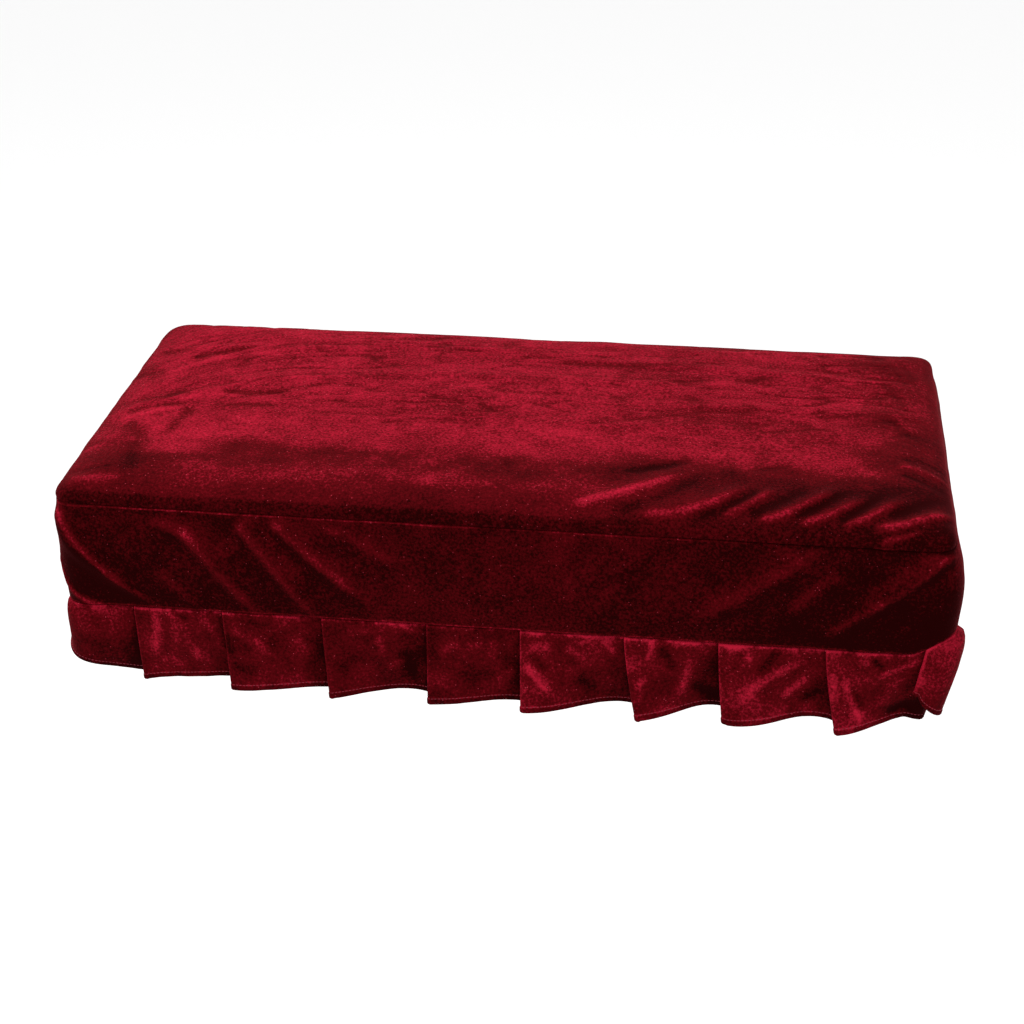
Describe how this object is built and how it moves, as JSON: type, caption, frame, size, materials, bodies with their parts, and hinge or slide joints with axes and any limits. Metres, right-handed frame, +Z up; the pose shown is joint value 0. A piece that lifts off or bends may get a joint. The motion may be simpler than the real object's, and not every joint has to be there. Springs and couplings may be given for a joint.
{
  "type": "piano bench cover",
  "caption": "Fitted velvet cover for a long padded piano bench: a crowned top panel, a plain side band with drag folds and a knife-pleated ruffle with a stitched hem.",
  "frame": {"origin": "the middle of the top panel's underside, where the seat touches it", "axes": "+X along the length, to the right as seen from the front; +Y from the front to the back; +Z up"},
  "size_m": [0.7893, 0.3968, 0.2036],
  "materials": {
    "top_velvet": "wine red velvet with a short shining pile",
    "band_velvet": "wine red velvet with a short shining pile",
    "ruffle_velvet": "wine red velvet with a short shining pile"
  },
  "bodies": {
    "root": {"top_panel": "top_velvet", "side_band": "band_velvet", "ruffle": "ruffle_velvet"}
  },
  "joints": []
}
